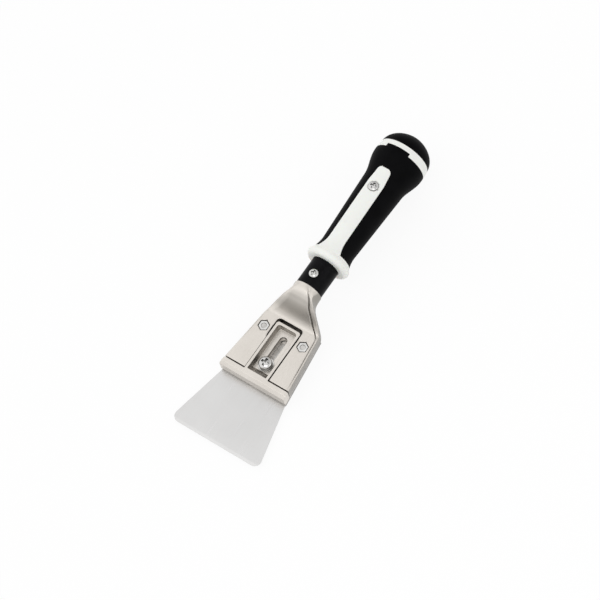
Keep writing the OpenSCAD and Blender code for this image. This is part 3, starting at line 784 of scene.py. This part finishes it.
def tab_solid(from_x, to_x, outer, middle, steps=20):
    """A block of the end ring, outside the tabs' inner radius and about an angle from the top."""
    rings = []
    for i in range(steps + 1):
        a = math.radians(middle + TAB_HALF_ANGLE * (2 * i / steps - 1))
        ring = [(from_x, TAB_INNER_R), (to_x, TAB_INNER_R), (to_x, outer(to_x)), (from_x, outer(from_x))]
        rings.append([(x, r * math.sin(a), AXIS_Z + r * math.cos(a)) for x, r in ring])
    return loft("tab", rings)


def make_collar(seat):
    """The collar, with the strip growing out of it and a seat for the handle screw."""
    rim_r = COLLAR_R - COLLAR_ROUND
    steps = 14
    profile = [(SHAFT_R, COLLAR_X), (rim_r, COLLAR_X)]
    profile += [(rim_r + COLLAR_ROUND * math.sin(quarter(i, steps)),
                 COLLAR_X + COLLAR_ROUND * (1 - math.cos(quarter(i, steps)))) for i in range(1, steps + 1)]
    profile += [(mix(COLLAR_R, COLLAR_END_R, smooth(i / steps)),
                 mix(COLLAR_X + COLLAR_ROUND, GRIP_X, i / steps)) for i in range(1, steps + 1)]
    profile += [(SHAFT_R, GRIP_X)]
    collar = lathe("collar_strip_finish", profile)
    unite(collar, strip_solid("strip", 0.0, STRIP_PROUD, GRIP_X - STRIP_ROOT))
    cut(collar, upright("seat", HANDLE_SCREW_X, 0, seat, ABOVE_HANDLE_Z, SCREW_SEAT_R))
    cut(collar, upright("hole", HANDLE_SCREW_X, 0, AXIS_Z, ABOVE_HANDLE_Z, SCREW_HOLE_R))
    soften(collar, 0.2, angle=38)
    dress(collar, "collar_strip")


def make_sleeve():
    """The soft grip, with a groove for the strip and two tabs on the end ring."""
    steps = 90
    outer = [(grip_r(x), x) for x in (mix(GRIP_X, RING_X, i / steps) for i in range(steps + 1))]
    inner = [(r - SLEEVE_T, x) for r, x in reversed(outer)]
    sleeve = lathe("grip_sleeve_finish", outer + inner)
    cut(sleeve, strip_solid("groove", GROOVE_GAP, GROOVE_PROUD, GRIP_X - GROOVE_ROOT))
    for middle in (0, 180):
        unite(sleeve, tab_solid(RING_X - TAB_ROOT, RING_X + TAB_LEN, ring_r, middle))
    shade(sleeve)
    dress(sleeve, "grip_sleeve")


def make_ring():
    steps = 12
    outer = [(ring_r(x), x) for x in (mix(RING_X, CAP_X, i / steps) for i in range(steps + 1))]
    ring = lathe("end_ring_finish", outer + [(SPIGOT_R, CAP_X), (SPIGOT_R, RING_X)])
    for middle in (0, 180):
        cut(ring, tab_solid(RING_X - TAB_CUT_ROOT, RING_X + TAB_LEN, lambda x: TAB_CUT_R, middle))
    soften(ring, 0.12, angle=38)
    dress(ring, "end_ring")


def make_cap():
    """The domed end, on a spigot inside the ring."""
    steps = 40
    dome = [(RING_END_R * max(math.cos(quarter(i, steps)), 0.0) ** DOME_FULLNESS,
             mix(CAP_X, TIP_X, math.sin(quarter(i, steps)))) for i in range(steps + 1)]
    foot_x = RING_X - SPIGOT_LEN
    cap = lathe("end_cap_finish", [(0.0, foot_x), (SPIGOT_R, foot_x), (SPIGOT_R, CAP_X)] + dome)
    shade(cap)
    dress(cap, "end_cap")


def dress_plain_nodes():
    for node, obj in frame["nodes"].items():
        if node in PLAIN_NODES:
            for slot in obj.material_slots:
                slot.material = MATERIALS[SLOT_OF[node]]


def make_floor(half=6000, z=-0.3, plain_share=0.9):
    """A white floor. Where the camera or a reflection sees it, most of its colour is plain white."""
    corners = [(-half, -half, z), (half, -half, z), (half, half, z), (-half, half, z)]
    floor = mesh_object("floor", corners, [(0, 1, 2, 3)])
    mat, tree, shader = new_material("floor_white", Base_Color=(0.95, 0.95, 0.95, 1.0), Roughness=0.9)
    paths = tree.nodes.new("ShaderNodeLightPath")
    glow = tree.nodes.new("ShaderNodeEmission")
    blend = tree.nodes.new("ShaderNodeMixShader")
    seen = calculate(tree, "MAXIMUM", paths.outputs["Is Camera Ray"], paths.outputs["Is Glossy Ray"])
    seen = calculate(tree, "MAXIMUM", seen, paths.outputs["Is Transmission Ray"])
    tree.links.new(calculate(tree, "MULTIPLY", seen, plain_share), blend.inputs[0])
    tree.links.new(shader.outputs[0], blend.inputs[1])
    tree.links.new(glow.outputs[0], blend.inputs[2])
    tree.links.new(blend.outputs[0], tree.nodes["Material Output"].inputs["Surface"])
    floor.data.materials.append(mat)


def make_world():
    """Soft grey bands across the sky, which give the metal its light and dark parts."""
    world = bpy.data.worlds.new("studio")
    bpy.context.scene.world = world
    world.use_nodes = True
    tree = world.node_tree
    back = tree.nodes["Background"]
    coord = tree.nodes.new("ShaderNodeTexCoord")
    dot = tree.nodes.new("ShaderNodeVectorMath")
    dot.operation = "DOT_PRODUCT"
    dot.inputs[1].default_value = Vector((-0.3, 0.9, 0.8)).normalized()
    tree.links.new(coord.outputs["Generated"], dot.inputs[0])
    height = span(tree, dot.outputs["Value"], 0.0, 1.0, -1.0, 1.0)
    bands = ((0.0, 0.383), (0.3, 0.598), (0.5, 0.774), (0.65, 0.618), (0.75, 0.452), (0.8, 0.682),
             (0.85, 0.903), (1.0, 0.921))
    sky = ramp(tree, height, [(place, (grey, grey, grey)) for place, grey in bands])
    tree.links.new(sky, back.inputs["Color"])
    back.inputs["Strength"].default_value = 1.2


def make_lamp(name, place, size, power):
    """A square lamp, in metres and watts, aimed at the middle of the tool."""
    data = bpy.data.lights.new(name, "AREA")
    data.shape = "RECTANGLE"
    data.size = size
    data.size_y = size
    data.energy = power
    lamp = bpy.data.objects.new(name, data)
    bpy.context.scene.collection.objects.link(lamp)
    lamp.location = place
    aim = Vector((0.0, 0.0, 0.01))
    lamp.rotation_euler = (aim - Vector(place)).to_track_quat("-Z", "Y").to_euler()


def make_camera():
    """The camera, placed in metres, high over the blade's end and turned to set the tool at a slant."""
    data = bpy.data.cameras.new("camera")
    data.sensor_width = 36.0
    data.lens = 136.2
    data.clip_start = 0.01
    data.clip_end = 50.0
    camera = bpy.data.objects.new("camera", data)
    bpy.context.scene.collection.objects.link(camera)
    right = Vector((0.5571, -0.8204, -0.1291)).normalized()
    back = Vector((-0.2974, -0.3422, 0.8913)).normalized()
    up = back.cross(right).normalized()
    right = up.cross(back)
    turn = Matrix((right, up, back)).transposed().to_4x4()
    camera.matrix_world = Matrix.Translation((EDGE_X * MM - 0.28445, -0.43097, 1.14551)) @ turn
    bpy.context.scene.camera = camera


handle_seat = AXIS_Z + grip_r(HANDLE_SCREW_X) + STRIP_PROUD - HANDLE_SCREW_SINK
make_head()
make_screw("clamp_screw", SCREW_X, SCREW_SEAT_Z, d=7.8, h=2.6, shank_r=2.0, low=0.0)
make_screw("shaft_screw", SHAFT_SCREW_X, AXIS_Z + SHAFT_R * SHAFT_SEAT, d=5.4, h=1.7, shank_r=1.5,
           low=AXIS_Z + 1.5)
make_screw("handle_screw", HANDLE_SCREW_X, handle_seat, d=6.0, h=1.7, shank_r=1.5, low=AXIS_Z + 1.5)
make_copies()
make_collar(handle_seat)
make_sleeve()
make_ring()
make_cap()
dress_plain_nodes()

make_floor()
make_world()
make_lamp("key", (-0.3, -0.2, 1.0), size=0.5, power=1.1)
make_lamp("fill", (0.2, -0.8, 0.5), size=0.5, power=0.45)
make_camera()

bpy.context.scene.view_settings.view_transform = "Standard"
